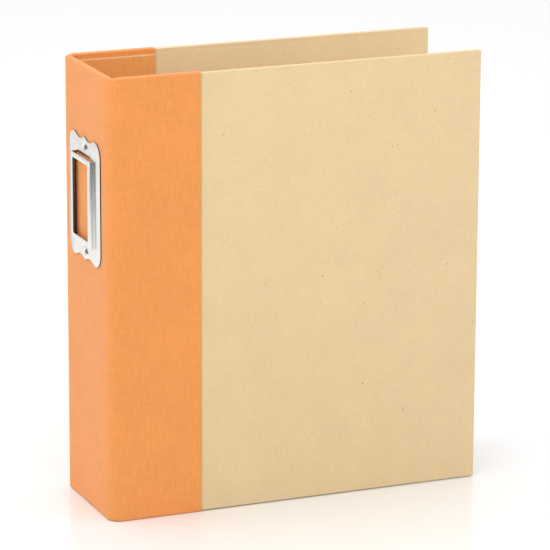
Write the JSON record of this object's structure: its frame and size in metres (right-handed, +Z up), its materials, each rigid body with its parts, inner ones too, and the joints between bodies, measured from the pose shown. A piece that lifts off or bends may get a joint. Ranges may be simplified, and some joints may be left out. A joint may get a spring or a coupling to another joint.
{
  "type": "scrapbook album",
  "caption": "Upright ring album: paper-covered boards, cloth spine that wraps onto both covers, a stamped metal label holder and a D-ring mechanism inside.",
  "frame": {"origin": "middle of the bottom of the closed album standing on its lower edges", "axes": "+Z up along the spine, -X out of the spine, -Y out of the front cover, +Y out of the back cover"},
  "size_m": [0.2112, 0.0709, 0.235],
  "materials": {
    "greyboard": "matt compressed grey board",
    "kraft_paper": "matt natural kraft paper with fine fibres and flecks",
    "orange_cloth": "matt linen-weave book cloth",
    "orange_lining": "matt linen-weave book cloth",
    "bright_nickel": "bright nickel-plated stamped sheet",
    "nickel_steel": "nickel-plated spring steel"
  },
  "bodies": {
    "spine": {"spine_board": "greyboard", "spine_cloth": "orange_cloth", "spine_lining": "orange_lining", "front_joint_cloth": "orange_cloth", "front_joint_lining": "orange_lining", "back_joint_cloth": "orange_cloth", "back_joint_lining": "orange_lining", "label_holder": "bright_nickel", "label_rivet_top": "bright_nickel", "label_rivet_bottom": "bright_nickel"},
    "front_cover": {"front_board": "greyboard", "front_kraft_wrap": "kraft_paper", "front_pastedown": "kraft_paper", "front_cloth_panel": "orange_cloth", "front_lining": "orange_lining"},
    "back_cover": {"back_board": "greyboard", "back_kraft_wrap": "kraft_paper", "back_pastedown": "kraft_paper", "back_cloth_panel": "orange_cloth", "back_lining": "orange_lining", "ring_plate": "nickel_steel", "plate_rivet_top": "nickel_steel", "plate_rivet_bottom": "nickel_steel"},
    "page_side_rings": {"page_side_blade": "nickel_steel", "page_side_ring_top": "nickel_steel", "page_side_ring_middle": "nickel_steel", "page_side_ring_bottom": "nickel_steel"},
    "spine_side_rings": {"spine_side_blade": "nickel_steel", "spine_side_ring_top": "nickel_steel", "spine_side_ring_middle": "nickel_steel", "spine_side_ring_bottom": "nickel_steel"},
    "top_lever": {"top_lever": "nickel_steel"},
    "bottom_lever": {"bottom_lever": "nickel_steel"}
  },
  "joints": [
    {"name": "front_cover_hinge", "type": "hinge", "parent": "spine", "child": "front_cover", "pos_m": [-0.10075, -0.0338, 0.1175], "axis": [0, 0, -1], "range_deg": [-5, 180], "deforming": ["front_joint_cloth", "front_joint_lining"]},
    {"name": "back_cover_hinge", "type": "hinge", "parent": "spine", "child": "back_cover", "pos_m": [-0.10075, 0.0329, 0.1175], "axis": [0, 0, 1], "range_deg": [-3, 180], "deforming": ["back_joint_cloth", "back_joint_lining"]},
    {"name": "page_ring_swing", "type": "hinge", "parent": "back_cover", "child": "page_side_rings", "pos_m": [-0.0562, 0.02585, 0.1175], "axis": [0, 0, 1], "range_deg": [0, 11]},
    {"name": "spine_ring_swing", "type": "hinge", "parent": "back_cover", "child": "spine_side_rings", "pos_m": [-0.0866, 0.02585, 0.1175], "axis": [0, 0, 1], "range_deg": [-11, 0]},
    {"name": "top_lever_tilt", "type": "hinge", "parent": "back_cover", "child": "top_lever", "pos_m": [-0.0714, 0.02455, 0.2095], "axis": [-1, 0, 0], "range_deg": [0, 36.3]},
    {"name": "bottom_lever_tilt", "type": "hinge", "parent": "back_cover", "child": "bottom_lever", "pos_m": [-0.0714, 0.02455, 0.0255], "axis": [1, 0, 0], "range_deg": [0, 36.3]}
  ],
  "couplings": [
    {"joint": "spine_ring_swing", "follows": "page_ring_swing", "ratio": -1},
    {"joint": "top_lever_tilt", "follows": "page_ring_swing", "ratio": 3.3},
    {"joint": "bottom_lever_tilt", "follows": "page_ring_swing", "ratio": 3.3}
  ]
}
